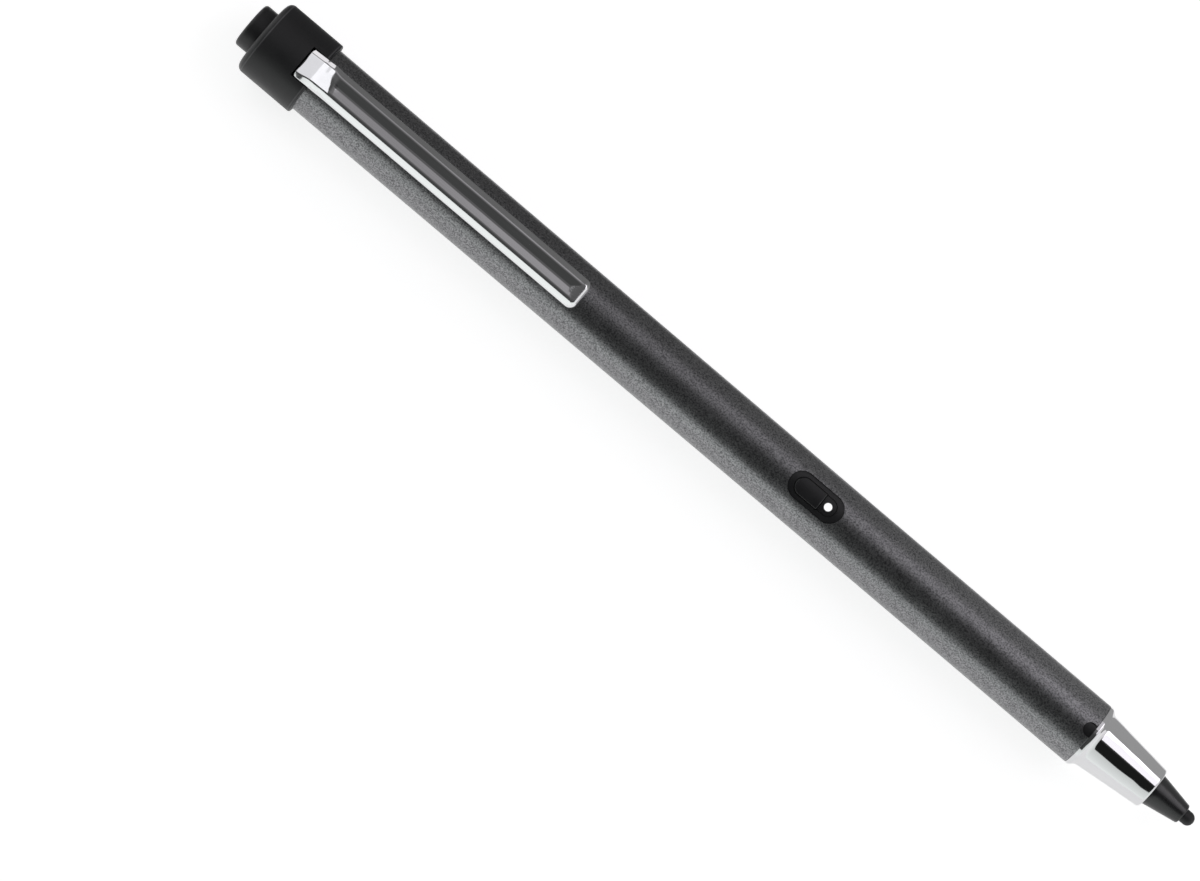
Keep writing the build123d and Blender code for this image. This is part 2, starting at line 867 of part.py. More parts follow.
os.makedirs("parts", exist_ok=True)
for name, piece in pieces.items():
    piece.part.label = name
    export_step(piece.part, f"parts/{name}.step")
print(f"{len(pieces)} pieces, pen {pen_length:.2f} mm long")
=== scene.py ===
# %% [markdown]
# A battery stylus pen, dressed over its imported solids. The pen lies along X with its nib at +X, its clip
# and side button upwards, and it rests on the underside of its tail cap. The solids already have the right
# shapes, so most of them only need a finish. The clip, the springs, the screws and the chip are modelled
# again here, because their small forms carry the look of the real pieces.

# %% Load the fixed frame
import bmesh
import bpy
import json
import math
import numpy as np
from mathutils import Matrix, Vector


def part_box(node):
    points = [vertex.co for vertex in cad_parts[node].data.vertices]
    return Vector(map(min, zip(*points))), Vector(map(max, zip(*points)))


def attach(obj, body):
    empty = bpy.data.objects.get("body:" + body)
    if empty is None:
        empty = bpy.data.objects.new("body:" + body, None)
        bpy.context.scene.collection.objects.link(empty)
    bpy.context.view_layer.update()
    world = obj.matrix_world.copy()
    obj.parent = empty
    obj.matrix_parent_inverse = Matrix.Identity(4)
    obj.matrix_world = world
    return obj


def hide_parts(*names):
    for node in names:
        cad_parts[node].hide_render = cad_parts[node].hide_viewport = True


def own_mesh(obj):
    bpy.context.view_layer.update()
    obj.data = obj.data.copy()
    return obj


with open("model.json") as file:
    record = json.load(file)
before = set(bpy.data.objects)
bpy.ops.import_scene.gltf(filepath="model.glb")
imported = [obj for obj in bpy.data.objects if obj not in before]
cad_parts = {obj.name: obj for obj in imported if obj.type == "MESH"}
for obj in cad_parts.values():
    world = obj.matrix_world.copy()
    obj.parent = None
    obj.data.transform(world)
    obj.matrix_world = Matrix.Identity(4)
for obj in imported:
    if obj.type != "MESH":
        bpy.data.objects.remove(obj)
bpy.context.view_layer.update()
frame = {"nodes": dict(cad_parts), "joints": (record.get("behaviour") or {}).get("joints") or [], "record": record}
scene = bpy.context.scene
scene.view_settings.view_transform = "Standard"
joints = {joint["name"]: joint for joint in frame["joints"]}
mounts = {mount["name"]: mount for mount in frame["record"]["mounts"]}
axis_height = mounts["barrel_grip"]["pos_m"][2]

# %% [markdown]
# The photograph looks down on the pen from almost straight above, through a long lens: the widths of the
# two ends keep their true ratio. The camera could be placed by trial, but two points are enough here. The
# pixels of the two ends of the pen's axis give the roll, the scale and the aim, and the place of the clip
# and the side button off the middle line gives how far the camera leans to the -Y side.


# %% Camera
def add_object(name, data):
    """Object in the scene for a mesh, a lamp or the camera."""
    thing = bpy.data.objects.new(name, data)
    scene.collection.objects.link(thing)
    return thing


image_width = 1200
image_height = 881
tail_pixel = Vector((251.0, 24.1))
nib_pixel = Vector((1193.6, 823.4))
sensor_width = 36.0
camera_distance = 0.82
camera_near = 0.0082
lean_to_side = math.radians(7.0)
lean_to_tail = math.radians(0.7)

tail_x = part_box("tail_button")[0].x
nib_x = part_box("nib")[1].x
pen_middle = Vector(((tail_x + nib_x) / 2, 0, axis_height))
on_image = nib_pixel - tail_pixel
pixels_per_metre = on_image.length / (nib_x - tail_x)
towards_nib = on_image.normalized()

back = Vector((-math.sin(lean_to_tail), -math.sin(lean_to_side), math.cos(lean_to_side))).normalized()
pen_axis = Vector((1, 0, 0))
along = (pen_axis - pen_axis.dot(back) * back).normalized()
across = back.cross(along)
right = towards_nib.x * along + towards_nib.y * across
up = towards_nib.x * across - towards_nib.y * along
off_centre = (Vector((image_width, image_height)) / 2 - (tail_pixel + nib_pixel) / 2) / pixels_per_metre
aim = pen_middle + off_centre.x * right - off_centre.y * up

camera_data = bpy.data.cameras.new("camera")
camera_data.sensor_width = sensor_width
camera_data.lens = pixels_per_metre * camera_distance * sensor_width / image_width
camera_data.clip_start = camera_near
camera = add_object("camera", camera_data)
camera_turn = Matrix((right, up, back)).transposed().to_4x4()
camera.matrix_world = Matrix.Translation(aim + back * camera_distance) @ camera_turn
scene.camera = camera
print(f"lens {camera_data.lens:.0f} mm, {pixels_per_metre / 1000:.2f} pixels per millimetre")

# %% [markdown]
# Finishes, small pieces and lights are all made with node trees. A tree could be wired line by line, but the
# same moves come back all the time. So one helper adds a node and links or sets its sockets, and short ones
# on top of it add an operation, take a place apart and map a value to a range.


# %% Steps that all trees share
def set_sockets(tree, node, sockets):
    """Links a node's sockets to outputs, or sets them to values."""
    for label, value in sockets.items():
        if isinstance(value, bpy.types.NodeSocket):
            tree.links.new(value, node.inputs[label])
        else:
            node.inputs[label].default_value = value


def add_node(tree, kind, sockets, **settings):
    """New node with its settings and its sockets. Gives back its outputs."""
    node = tree.nodes.new(kind)
    for label, value in settings.items():
        setattr(node, label, value)
    set_sockets(tree, node, sockets)
    return node.outputs


def maths(tree, operation, *values):
    """One operation on values or outputs."""
    return add_node(tree, "ShaderNodeMath", dict(enumerate(values)), operation=operation)[0]


def split(tree, place):
    """X, Y and Z of a place."""
    return add_node(tree, "ShaderNodeSeparateXYZ", {"Vector": place})


def spread(tree, value, low, high, value_low=0.3, value_high=0.7, ease="LINEAR"):
    """Maps a value to the range from low to high."""
    sockets = {"Value": value, "From Min": value_low, "From Max": value_high, "To Min": low, "To Max": high}
    return add_node(tree, "ShaderNodeMapRange", sockets, interpolation_type=ease)[0]


# %% [markdown]
# A finish needs noise of a known grain size, a colour between two colours and a bump. All patterns read the
# object coordinates, in metres, so a grain of a tenth of a millimetre is written as such.


# %% Steps that the finishes share
def between(tree, share, first, second):
    """Colour between two colours or outputs, by a share from 0 to 1."""
    ends = [end if isinstance(end, bpy.types.NodeSocket) else (*end, 1) for end in (first, second)]
    return add_node(tree, "ShaderNodeMix", {0: share, 6: ends[0], 7: ends[1]}, data_type="RGBA")[2]


def grain(tree, place, size, detail=2.0, stretch=(1, 1, 1)):
    """Noise from 0 to 1 with grains about size metres across."""
    scale = [share / size for share in stretch]
    scaled = add_node(tree, "ShaderNodeMapping", {"Vector": place, "Scale": scale})["Vector"]
    return add_node(tree, "ShaderNodeTexNoise", {"Vector": scaled, "Scale": 1.0, "Detail": detail})["Fac"]


def raised(tree, height, depth):
    """Bump of a known depth in metres."""
    return add_node(tree, "ShaderNodeBump", {"Height": height, "Distance": depth})["Normal"]


def start_finish(name):
    """New node material, with its tree and the object coordinates."""
    material = bpy.data.materials.new(name)
    material.use_nodes = True
    tree = material.node_tree
    return material, tree, add_node(tree, "ShaderNodeTexCoord", {})["Object"]


def end_finish(material, look):
    """Gives the material's shader its look."""
    tree = material.node_tree
    set_sockets(tree, tree.nodes["Principled BSDF"], look)
    return material


# %% [markdown]
# The barrel has a dark metallic lacquer. Its flakes show as a soft speckle, about a fifth of a millimetre
# across, and the lacquer blurs what it mirrors. It could be a coat over paint, but the photograph has no
# sharp gloss on top of the soft one, so one rough metallic layer with speckled colour and clouded
# roughness is enough.

# %% Barrel lacquer
flake_size = 0.00020
flake_depth = 0.000006
flake_limits = (0.35, 0.65)
cloud_size = 0.0030
lacquer_colours = ((0.128, 0.128, 0.133), (0.380, 0.380, 0.388))
lacquer_roughness = (0.29, 0.34)


def barrel_lacquer():
    material, tree, place = start_finish("barrel_lacquer")
    flakes = grain(tree, place, flake_size, detail=3.0)
    clouds = grain(tree, place, cloud_size)
    look = {
        "Base Color": between(tree, spread(tree, flakes, 0, 1, *flake_limits), *lacquer_colours),
        "Roughness": spread(tree, clouds, *lacquer_roughness),
        "Metallic": 1.0,
        "Normal": raised(tree, flakes, flake_depth),
    }
    return end_finish(material, look)


lacquer = barrel_lacquer()
print(f"{lacquer.name}: flakes of {flake_size * 1000:.2f} mm")

# %% [markdown]
# The cap, the tail button, the tip and the inner mouldings are all moulded plastic with a fine spark-eroded
# grain. They differ in colour, in gloss and in the size of the grain, so one function makes them all. The
# cap also has a painted highlight: two thin lighter grey lines near its ends, where its rounded edges catch
# the light.

# %% Moulded plastics
patch_size = 0.004
patch_dulls = 0.05
patch_polishes = 0.04
# painted highlight: grey and half width of the two thin lighter lines on the cap's rounded edges
highlight_line_grey = (0.060, 0.060, 0.062)
highlight_line_half_width = 0.00009
tail_line_inset = 0.00075
skirt_line_inset = 0.00032


# painted highlight: mask of the two thin lines where the cap's edges catch the light
def painted_highlight_lines(tree, place, stations):
    """1 on two thin lines round the pen at the given X, 0 away from them."""
    x = split(tree, place)["X"]
    lines = [maths(tree, "COMPARE", x, station, highlight_line_half_width) for station in stations]
    return maths(tree, "MAXIMUM", *lines)


def moulding(
    name, colour, roughness, grain_size=0.00014, grain_depth=0.000004, vary=0.25, highlight_lines_at=(), ior=1.5
):
    """Moulded plastic with a fine grain, which can have a painted highlight along two lines."""
    material, tree, place = start_finish(name)
    texture = grain(tree, place, grain_size, detail=3.0)
    patches = grain(tree, place, patch_size)
    darker = [channel * (1 - vary) for channel in colour]
    lighter = [channel * (1 + vary) for channel in colour]
    body = between(tree, spread(tree, texture, 0, 1), darker, lighter)
    # painted highlight: lighter grey lines painted over the grain along the cap's edges
    if highlight_lines_at:
        body = between(tree, painted_highlight_lines(tree, place, highlight_lines_at), body, highlight_line_grey)
    look = {
        "Base Color": body,
        "Roughness": spread(tree, patches, roughness - patch_polishes, roughness + patch_dulls),
        "IOR": ior,
        "Normal": raised(tree, texture, grain_depth),
    }
    return end_finish(material, look)


cap_low, cap_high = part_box("tail_cap")
# painted highlight lines near the tail end and near the skirt of the cap
cap_highlight_lines = (cap_low.x + tail_line_inset, cap_high.x - skirt_line_inset)
cap_satin = moulding("cap_satin", (0.011, 0.011, 0.012), 0.42, highlight_lines_at=cap_highlight_lines)
button_satin = moulding("button_satin", (0.014, 0.014, 0.015), 0.40)
key_black = moulding("key_black", (0.010, 0.010, 0.011), 0.34, grain_size=0.0001, grain_depth=0.000002)
tip_satin = moulding(
    "tip_satin", (0.009, 0.009, 0.010), 0.28, grain_size=0.00012, grain_depth=0.000003, ior=1.62
)
nib_rubber = moulding("nib_rubber", (0.010, 0.010, 0.011), 0.55, grain_size=0.0001, grain_depth=0.000005)
seal_rubber = moulding("seal_rubber", (0.012, 0.012, 0.012), 0.58)
package_black = moulding("package_black", (0.018, 0.018, 0.019), 0.52)
switch_grey = moulding("switch_grey", (0.030, 0.030, 0.032), 0.46)
plunger_ivory = moulding("plunger_ivory", (0.62, 0.58, 0.48), 0.42, vary=0.06)
chassis_grey = moulding("chassis_grey", (0.045, 0.045, 0.048), 0.50)
# prints the X of the cap's painted highlight lines
print("the cap is rubbed at X of", [round(x * 1000, 2) for x in cap_highlight_lines], "mm")

# %% [markdown]
# The clip and the nose are plated mirror-bright. A perfect mirror looks computed, so the plate has faint
# wiping marks along the pen in its roughness, and a little unevenness from polishing in its bump.

# %% Plated and drawn metals
dull_share = 0.94
mark_shares = (0.6, 1.5)
waves_along = 0.15


def plate(name, colour, roughness, mark_size=0.0016, marks_along=0.12, wave_size=0.0022, wave_depth=0.000001):
    """Bright metal with faint marks in its roughness and soft waves in its bump."""
    material, tree, place = start_finish(name)
    marks = grain(tree, place, mark_size, detail=4.0, stretch=(marks_along, 1, 1))
    waves = grain(tree, place, wave_size, detail=1.0, stretch=(waves_along, 1, 1))
    dull = [channel * dull_share for channel in colour]
    look = {
        "Base Color": between(tree, spread(tree, marks, 0, 1), dull, colour),
        "Roughness": spread(tree, marks, *(roughness * share for share in mark_shares)),
        "Metallic": 1.0,
        "Normal": raised(tree, waves, wave_depth),
    }
    return end_finish(material, look)


bright_plate = plate("bright_plate", (0.80, 0.80, 0.81), 0.045)
pressed_plate = plate(
    "pressed_plate",
    (0.91, 0.91, 0.92),
    0.09,
    mark_size=0.0002,
    marks_along=0.02,
    wave_size=0.0014,
    wave_depth=0.000012,
)
spring_wire = plate("spring_wire", (0.62, 0.62, 0.63), 0.24, mark_size=0.0004, marks_along=1)
contact_brass = plate("contact_brass", (0.72, 0.53, 0.24), 0.28, mark_size=0.0005, marks_along=1)
screw_plate = plate("screw_plate", (0.58, 0.58, 0.60), 0.26, mark_size=0.0004, marks_along=1)
can_steel = plate("can_steel", (0.66, 0.66, 0.67), 0.22, mark_size=0.0006, marks_along=0.2)
print("two mirror plates, for the nose and the clip, and four duller metals for the inside")

# %% [markdown]
# The ceramic capacitors are small tan blocks with silvered ends. The ends could be blocks of their own, but
# they lie almost flush, so a mask of the distance from the middle line is enough.

# %% Capacitors
silver_from_share = 0.6
silver_soft = 0.00002
silver = (0.62, 0.62, 0.60)
ceramic_grain = 0.00009
ceramic_roughness = (0.35, 0.5)
ceramic_colours = ((0.25, 0.16, 0.09), (0.36, 0.24, 0.14))


def capacitor_ceramic():
    material, tree, place = start_finish("capacitor_ceramic")
    low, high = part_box("board_capacitors")
    edge = silver_from_share * (high.y - low.y) / 2
    off_middle = maths(tree, "ABSOLUTE", split(tree, place)["Y"])
    ends = spread(tree, off_middle, 0, 1, edge - silver_soft, edge + silver_soft)
    speckle = grain(tree, place, ceramic_grain)
    body = between(tree, spread(tree, speckle, 0, 1), *ceramic_colours)
    look = {
        "Base Color": between(tree, ends, body, silver),
        "Metallic": ends,
        "Roughness": spread(tree, speckle, *ceramic_roughness),
    }
    print(f"silver starts {edge * 1000:.2f} mm off the middle")
    return end_finish(material, look)


ceramic = capacitor_ceramic()

# %% [markdown]
# The cell is sleeved in a printed film, with a band near its positive end. The sleeve is a plain tube in a
# known place, so a mask along X gives the band, and no printed picture is needed.

# %% Cell wrap
band_share = 0.22
band_soft = 0.00005
wrap_blue = (0.030, 0.075, 0.16)
wrap_ochre = (0.50, 0.32, 0.10)
wrap_film = 0.0012
wrap_roughness = (0.18, 0.32)
wrap_depth = 0.000004


def cell_wrap_film():
    material, tree, place = start_finish("cell_wrap_film")
    low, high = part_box("battery_wrap")
    band_x = high.x - band_share * (high.x - low.x)
    band = spread(tree, split(tree, place)["X"], 0, 1, band_x - band_soft, band_x + band_soft)
    film = grain(tree, place, wrap_film)
    look = {
        "Base Color": between(tree, band, wrap_blue, wrap_ochre),
        "Roughness": spread(tree, film, *wrap_roughness),
        "Normal": raised(tree, film, wrap_depth),
    }
    print(f"band is {(high.x - band_x) * 1000:.1f} mm wide")
    return end_finish(material, look)


printed_film = cell_wrap_film()

# %% [markdown]
# The boards have a green resist over copper tracks, which show through as lighter raised lines. Tracks could
# be drawn one by one, but most of them lie under other pieces, so a brick pattern stands in for them.

# %% Boards
resist_film = 0.0008
resist_roughness = (0.24, 0.36)
track_depth = 0.00002
track_pattern = {
    "Scale": 1.0,
    "Brick Width": 0.0052,
    "Row Height": 0.0007,
    "Mortar Size": 0.00011,
    "Color1": (0.010, 0.075, 0.030, 1),
    "Color2": (0.012, 0.090, 0.036, 1),
    "Mortar": (0.022, 0.150, 0.060, 1),
}


def board_resist():
    material, tree, place = start_finish("board_resist")
    tracks = add_node(tree, "ShaderNodeTexBrick", {"Vector": place, **track_pattern})
    look = {
        "Base Color": tracks["Color"],
        "Roughness": spread(tree, grain(tree, place, resist_film), *resist_roughness),
        "Normal": raised(tree, tracks["Fac"], track_depth),
    }
    return end_finish(material, look)


green_board = board_resist()
print(f"{green_board.name}: tracks {track_pattern['Row Height'] * 1000:.1f} mm apart")

# %% [markdown]
# The indicator is lit on the photograph: a small white dot with a soft rim. A translucent white rod that
# glows a little reads as lit from any side. The rim is darker, because the rod shades itself in its hole, and
# that is a mask of the distance from the middle of the rod.

# %% Lit window
lit_share = 0.80
rim_grey = (0.10, 0.10, 0.10)
rod_white = (0.90, 0.90, 0.90)
frost_size = 0.0004
frost_roughness = (0.25, 0.4)
light_brightness = 0.75
led_brightness = 0.2


def lit_window(name, node_name, brightness):
    """White rod that glows, with a darker rim."""
    material, tree, place = start_finish(name)
    low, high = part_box(node_name)
    rod_r = (high.y - low.y) / 2
    middle = ((low.x + high.x) / 2, (low.y + high.y) / 2, 0)
    flat = add_node(tree, "ShaderNodeVectorMath", {0: place, 1: (1, 1, 0)}, operation="MULTIPLY")["Vector"]
    away = add_node(tree, "ShaderNodeVectorMath", {0: flat, 1: middle}, operation="DISTANCE")["Value"]
    inside = spread(tree, away, 1, 0, lit_share * rod_r, rod_r)
    look = {
        "Base Color": between(tree, inside, rim_grey, rod_white),
        "Roughness": spread(tree, grain(tree, place, frost_size), *frost_roughness),
        "Emission Color": (1, 1, 1, 1),
        "Emission Strength": spread(tree, inside, 0, brightness, 0, 1),
    }
    print(f"{name}: rod of {2000 * rod_r:.2f} mm")
    return end_finish(material, look)


light_window = lit_window("light_window", "light_pipe", light_brightness)
led_package = lit_window("led_package", "indicator_led", led_brightness)

# %% [markdown]
# Each finish is made once and given to the solids that have it. The list below is read like a parts list.

# %% Finishes of all solids
finishes = {
    "barrel": lacquer,
    "tail_cap": cap_satin,
    "button_bezel": key_black,
    "side_button": key_black,
    "light_pipe": light_window,
    "nose_cone": bright_plate,
    "nose_key": key_black,
    "tip_holder": tip_satin,
    "nib": nib_rubber,
    "nib_socket": contact_brass,
    "nib_shaft": contact_brass,
    "nib_guide": chassis_grey,
    "tip_sensor": package_black,
    "tail_button": button_satin,
    "tail_switch_plunger": plunger_ivory,
    "switch_carrier": chassis_grey,
    "cap_seal": seal_rubber,
    "tail_switch_board": green_board,
    "tail_switch_body": switch_grey,
    "battery_can": can_steel,
    "battery_wrap": printed_film,
    "battery_contact": contact_brass,
    "chassis": chassis_grey,
    "main_board": green_board,
    "boost_coil": package_black,
    "board_capacitors": ceramic,
    "ground_leaf": contact_brass,
    "side_switch_body": switch_grey,
    "side_switch_plunger": plunger_ivory,
    "indicator_led": led_package,
}
for node_name, finish in finishes.items():
    solid = frame["nodes"][node_name]
    solid.data.materials.clear()
    solid.data.materials.append(finish)
print(f"{len(finishes)} solids have a finish")

# %% [markdown]
# Some solids are shown by a piece that is made here. The piece rides on the solid's body, so that the joints
# move it too. The body is looked up in the record instead of being listed a second time.

# %% Pieces that stand for solids
true_edge = math.radians(38)
solid_bodies = {}
for body_name, node_names in frame["record"]["behaviour"]["bodies"].items():
    solid_bodies.update(dict.fromkeys(node_names, body_name))
print(f"{len(solid_bodies)} solids on {len(set(solid_bodies.values()))} bodies")


def mesh_of(shell, name):
    """Plain mesh from a finished shell of faces."""
    mesh = bpy.data.meshes.new(name)
    shell.to_mesh(mesh)
    shell.free()
    return mesh


def smooth_piece(mesh, finish):
    """Object at the origin with one finish and smooth faces that break at true edges."""
    mesh.materials.clear()
    mesh.materials.append(finish)
    mesh.polygons.foreach_set("use_smooth", [True] * len(mesh.polygons))
    mesh.set_sharp_from_angle(angle=true_edge)
    return add_object(mesh.name, mesh)


def stand_for(piece, node_name):
    """Shows a piece instead of a solid, on its body."""
    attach(piece, solid_bodies[node_name])
    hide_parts(node_name)


# %% [markdown]
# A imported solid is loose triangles, and a round one has a seam along its top line where the shading breaks.
# The real pieces are turned or moulded round and show nothing there. Finer triangles would not help, because
# the seam stays. The round pieces that can be seen are copied instead, the copies are merged along the seam,
# and they are shaded smooth up to the angle of a true edge. Weighted normals let the long faces lead. The
# barrel has a slot, and the long triangles beside it would still bend the shading, so its wall gets the
# normals of a true round: straight out from the axis.

# %% Round pieces without a seam
merge_distance = 0.0000002
wall_lean = 0.08
wall_facing = 0.8
outer_solids = ("barrel", "tail_cap", "tail_button", "nose_cone", "tip_holder", "nib", "light_pipe")
inner_solids = ("switch_carrier", "cap_seal")


def merged_copy(node_name):
    """Copy of a solid whose seams are merged and whose shading is worked out again."""
    shell = bmesh.new()
    shell.from_mesh(frame["nodes"][node_name].data)
    bmesh.ops.remove_doubles(shell, verts=shell.verts, dist=merge_distance)
    mesh = mesh_of(shell, "smooth_" + node_name)
    mesh.attributes.remove(mesh.attributes["custom_normal"])
    return smooth_piece(mesh, finishes[node_name])


def turned_wall(mesh):
    """Sets the normals of a wall round the pen's axis straight outwards. Gives back its number of points."""
    outward = [Vector((0, vert.co.y, vert.co.z - axis_height)).normalized() for vert in mesh.vertices]
    wall_points = set()
    for face in mesh.polygons:
        if abs(face.normal.x) < wall_lean:
            wall_points.update(v for v in face.vertices if face.normal.dot(outward[v]) > wall_facing)
    normals = [corner.vector.copy() for corner in mesh.corner_normals]
    for face in mesh.polygons:
        on_wall = wall_points.issuperset(face.vertices)
        for corner, v in zip(face.loop_indices, face.vertices):
            if on_wall or (v in wall_points and face.normal.dot(outward[v]) > wall_facing):
                normals[corner] = outward[v]
    mesh.normals_split_custom_set(normals)
    return len(wall_points)


for node_name in outer_solids + inner_solids:
    copy = merged_copy(node_name)
    if node_name == "barrel":
        print(f"barrel's wall has {turned_wall(copy.data)} points")
    else:
        copy.modifiers.new("long_faces_lead", "WEIGHTED_NORMAL").keep_sharp = True
    stand_for(copy, node_name)
    print(f"{copy.name}: {len(copy.data.polygons)} faces")


# %% [markdown]
# The clip is one strip of sheet metal. It comes out of the cap, climbs a short ramp and runs along the
# barrel. Its long edges and its end are turned down, and the edge stands up as a thin rounded bead around
# a shallow dish, which is why the photograph shows thin bright and dark lines beside each edge. A sweep
# can't carry the bead round the corners of the end, so the strip is built as rings instead: the outline of
# the strip, drawn in by steps, with a height for each step.

# %% Line that the clip follows
clip_sheet = 0.00045
clip_root_gap = 0.00008
clip_root_run = 0.00012
clip_root_rise = 0.00055
clip_ramp_run = 0.0022
clip_ramp_angle = math.radians(22.0)
clip_crown_angle = math.radians(13.5)
clip_bend_past = 0.0020
clip_end_rise = 0.00135
clip_corner_rounds = (0.00003, 0.00006, 0.0030, 0.0060)
line_step = 0.00004

skirt_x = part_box("tail_cap")[1].x
clip_low, clip_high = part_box("clip")
pivot = Vector(joints["clip_flex"]["pos_m"])
grip = mounts["barrel_grip"]
grip_r = grip["dims"]["r_mm"] / 1000
grip_x = grip["pos_m"][0] - grip["dims"]["length_mm"] / 2000
tail_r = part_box("barrel")[1].y


def barrel_r_at(x):
    """Radius of the barrel, which narrows from the cap to the grip."""
    return float(np.interp(x, [skirt_x, grip_x], [tail_r, grip_r]))


def rounded_line(corners, radii):
    """Points along straight runs joined by arcs, a fixed step apart."""
    points = [Vector(corners[0])]
    for before, corner, after, radius in zip(corners, corners[1:], corners[2:], radii):
        corner = Vector(corner)
        inward = (Vector(before) - corner).normalized()
        outward = (Vector(after) - corner).normalized()
        half = inward.angle(outward) / 2
        start = corner + inward * radius / math.tan(half)
        end = corner + outward * radius / math.tan(half)
        centre = corner + (inward + outward).normalized() * radius / math.sin(half)
        points.append(start)
        steps = max(2, int(radius * (math.pi - 2 * half) / line_step))
        for step in range(1, steps):
            spoke = (start - centre).slerp(end - centre, step / steps)
            points.append(centre + spoke * radius)
        points.append(end)
    points.append(Vector(corners[-1]))
    return np.array([(p.x, p.y) for p in points])


tongue_top = pivot.z + clip_sheet / 2
root_x = pivot.x + clip_root_gap
ramp_x = root_x + clip_root_run
ramp_top = tongue_top + clip_root_rise
crown_x = ramp_x + clip_ramp_run
crown_top = ramp_top + clip_ramp_run * math.tan(clip_ramp_angle)
bend_x = skirt_x + clip_bend_past
bend_top = crown_top + (bend_x - crown_x) * math.tan(clip_crown_angle)
end_top = axis_height + barrel_r_at(clip_high.x) + clip_end_rise
clip_line = rounded_line(
    [
        (clip_low.x, tongue_top),
        (root_x, tongue_top),
        (ramp_x, ramp_top),
        (crown_x, crown_top),
        (bend_x, bend_top),
        (clip_high.x, end_top),
    ],
    clip_corner_rounds,
)
line_runs = np.hypot(*np.diff(clip_line, axis=0).T)
line_length = np.concatenate([[0], np.cumsum(line_runs)])
line_slope = np.gradient(clip_line, line_length, axis=0)
clip_length = float(line_length[-1])
print(f"clip strip is {clip_length * 1000:.1f} mm long")

# %% [markdown]
# The outline of the strip runs along one long edge, round the end and back along the other. It could be
# offset by a modifier, but then the corners would tear. Here a point that is drawn in by a distance stays on
# the mitre of its corner, so the edge runs on all the way round.

# %% Clip outline
clip_half_width = clip_high.y
edge_root = {"outer": 0.00015, "tilt": math.radians(26), "band": 0.00042, "crest": 0.00060}
edge_main = {"outer": 0.00040, "tilt": math.radians(47), "band": 0.00052, "crest": 0.00050}
fine_reach = 0.0105
fine_step = 0.00007
long_steps = 70
corner_steps = 9
end_steps = 13


def crest_line(outer, tilt, band, crest):
    """How far in the edge reaches its full height."""
    return crest * math.sin(tilt) + band + outer * (1 - math.sin(tilt))


clip_corner = crest_line(**edge_main)


def clip_outline():
    """Stations of the outline: what they lie on, how far along it, and on which side."""
    fine = np.arange(0, fine_reach, fine_step)
    lengths = np.concatenate([fine, np.linspace(fine_reach, clip_length - clip_corner, long_steps)])
    turns = np.linspace(0, math.pi / 2, corner_steps)[1:]
    end_widths = np.linspace(1, -1, end_steps)[1:-1]
    side = [("edge", s) for s in lengths] + [("corner", turn) for turn in turns]
    rows = [(*station, 1) for station in side]
    rows += [("end", share, 0) for share in end_widths]
    return rows + [(*station, -1) for station in side[::-1]]


def drawn_in(row, inset):
    """Length and width on the strip of an outline station that is drawn in by inset."""
    kind, value, way = row
    corner = max(clip_corner, inset)
    centre_s = clip_length - corner
    centre_y = clip_half_width - corner
    if kind == "edge":
        return min(value, centre_s), way * (clip_half_width - inset)
    if kind == "end":
        return clip_length - inset, value * centre_y
    radius = corner - inset
    return centre_s + radius * math.sin(value), way * (centre_y + radius * math.cos(value))


outline = clip_outline()
print(f"the outline has {len(outline)} stations")

# %% [markdown]
# The heights over the outline give the side wall, its round, a sloping band, a broad round on top, the dish
# and then the underside. On the ramp the band is flatter, and round the end it is narrower. A pressed bend is
# never quite square, so it comes a little later on one side of the strip, and each side's edge grows to its
# full form at its own place, both as read off the photograph.

# %% Clip edge
clip_depth = 0.00115
clip_gap = 0.00025
clip_rim = 0.00006
clip_wall = 0.00008
round_steps = 7
end_band = 0.00016
dish_count = 40
dish_steps = np.linspace(clip_corner, clip_half_width, dish_count)
dish_runs = np.array([0, 0.10, 0.20, 0.55, 0.60, 1.00, 1.10, 2.0]) / 1000
dish_tilts = np.radians([0, 0, 8, 8, 9, 9, 0, 0])
dish_change = (bend_x + 0.0002, bend_x + 0.0014)
edge_changes = {
    -1: (crown_x - 0.0020, crown_x + 0.0004),
    0: (bend_x, clip_high.x),
    1: (bend_x - 0.0008, bend_x + 0.0008),
}
bend_skew = 0.00045
skew_across = (-0.0010, 0.0013)
skew_reach = (crown_x + 0.0003, bend_x - 0.0006, bend_x + 0.0010, bend_x + 0.0050)


def smooth_share(x, change):
    """Share from 0 to 1 that eases in over a stretch."""
    share = float(np.interp(x, change, [0, 1]))
    return share * share * (3 - 2 * share)


def line_at(s, y):
    """Place and slope of the clip's line. The bend comes later on one side of the strip."""
    x = np.interp(s, line_length, clip_line[:, 0])
    near = smooth_share(x, skew_reach[:2]) - smooth_share(x, skew_reach[2:])
    shifted = s - bend_skew * near * (2 * smooth_share(-y, skew_across) - 1)
    columns = (clip_line[:, 1], *line_slope.T)
    return float(x), *(float(np.interp(shifted, line_length, column)) for column in columns)


def edge_shape(share, dish_share, round_end):
    """Insets and heights over the edge and the dish, for shares of the main edge, the dish and the end."""
    outer, tilt, band, crest = (edge_root[k] + share * (edge_main[k] - edge_root[k]) for k in edge_root)
    band += round_end * (end_band - band)
    crest_inset = crest_line(outer, tilt, band, crest)
    band_height = crest * (math.cos(tilt) - 1) - band * math.tan(tilt)
    pairs = []
    for turn in np.linspace(math.pi / 2, tilt, round_steps):
        height = band_height + outer * (math.cos(turn) - math.cos(tilt))
        pairs.append((outer * (1 - math.sin(turn)), height))
    for turn in np.linspace(tilt, 0, round_steps):
        pairs.append((crest_inset - crest * math.sin(turn), crest * (math.cos(turn) - 1)))
    tilts = np.interp(dish_steps - clip_corner, dish_runs, dish_share * dish_tilts)
    falls = np.tan((tilts[1:] + tilts[:-1]) / 2) * np.diff(dish_steps)
    return pairs + list(zip(dish_steps, -np.concatenate([[0], np.cumsum(falls)])))


